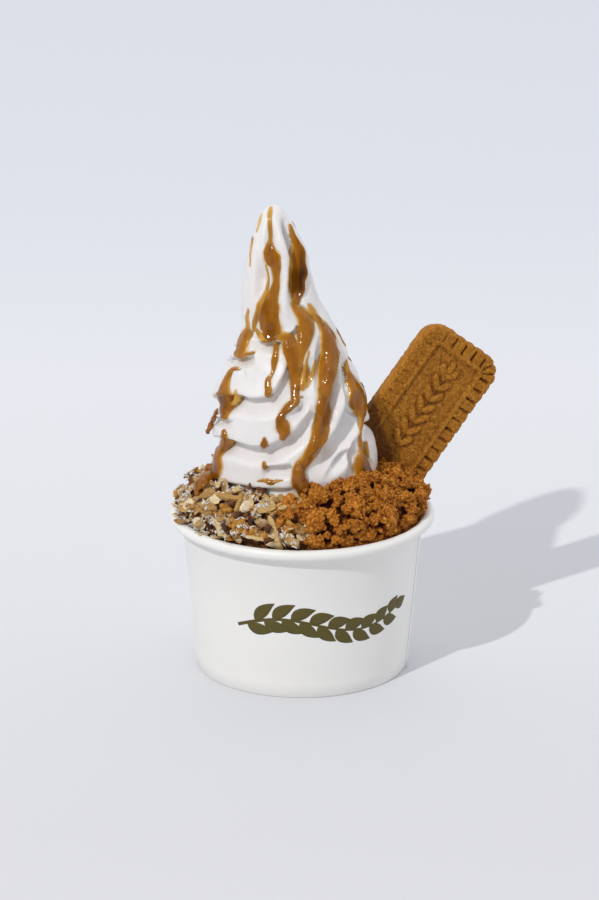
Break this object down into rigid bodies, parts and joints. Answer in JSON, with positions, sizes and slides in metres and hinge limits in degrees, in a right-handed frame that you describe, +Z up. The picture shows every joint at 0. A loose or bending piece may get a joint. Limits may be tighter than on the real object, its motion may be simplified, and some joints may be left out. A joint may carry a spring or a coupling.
{
  "type": "frozen yogurt cup",
  "caption": "Round paper cup of swirled frozen yogurt with thick biscuit sauce run down it, granola and biscuit crumble heaped round it, and a fluted biscuit pushed in at the back.",
  "frame": {"origin": "centre of the bounding box at the table, which the cup stands on; the cup's own axis is at X = -0.0106, Y = 0", "axes": "+Z up along the cup's axis, +X to the right of the front view, towards the side that the biscuit leans to, -Y towards the viewer"},
  "size_m": [0.1122, 0.091, 0.164],
  "materials": {
    "cup_card": "white coated paper card, satin",
    "yogurt": "soft white frozen yogurt, moist, with glossy caramel-brown biscuit sauce",
    "granola": "toasted oats, split almonds and coconut, rough",
    "crumble": "golden-brown biscuit crumb, rough and porous",
    "biscuit": "baked caramel-brown biscuit, fine grained"
  },
  "bodies": {
    "root": {"cup": "cup_card", "yogurt": "yogurt", "granola": "granola", "crumble": "crumble", "biscuit": "biscuit"}
  },
  "joints": []
}
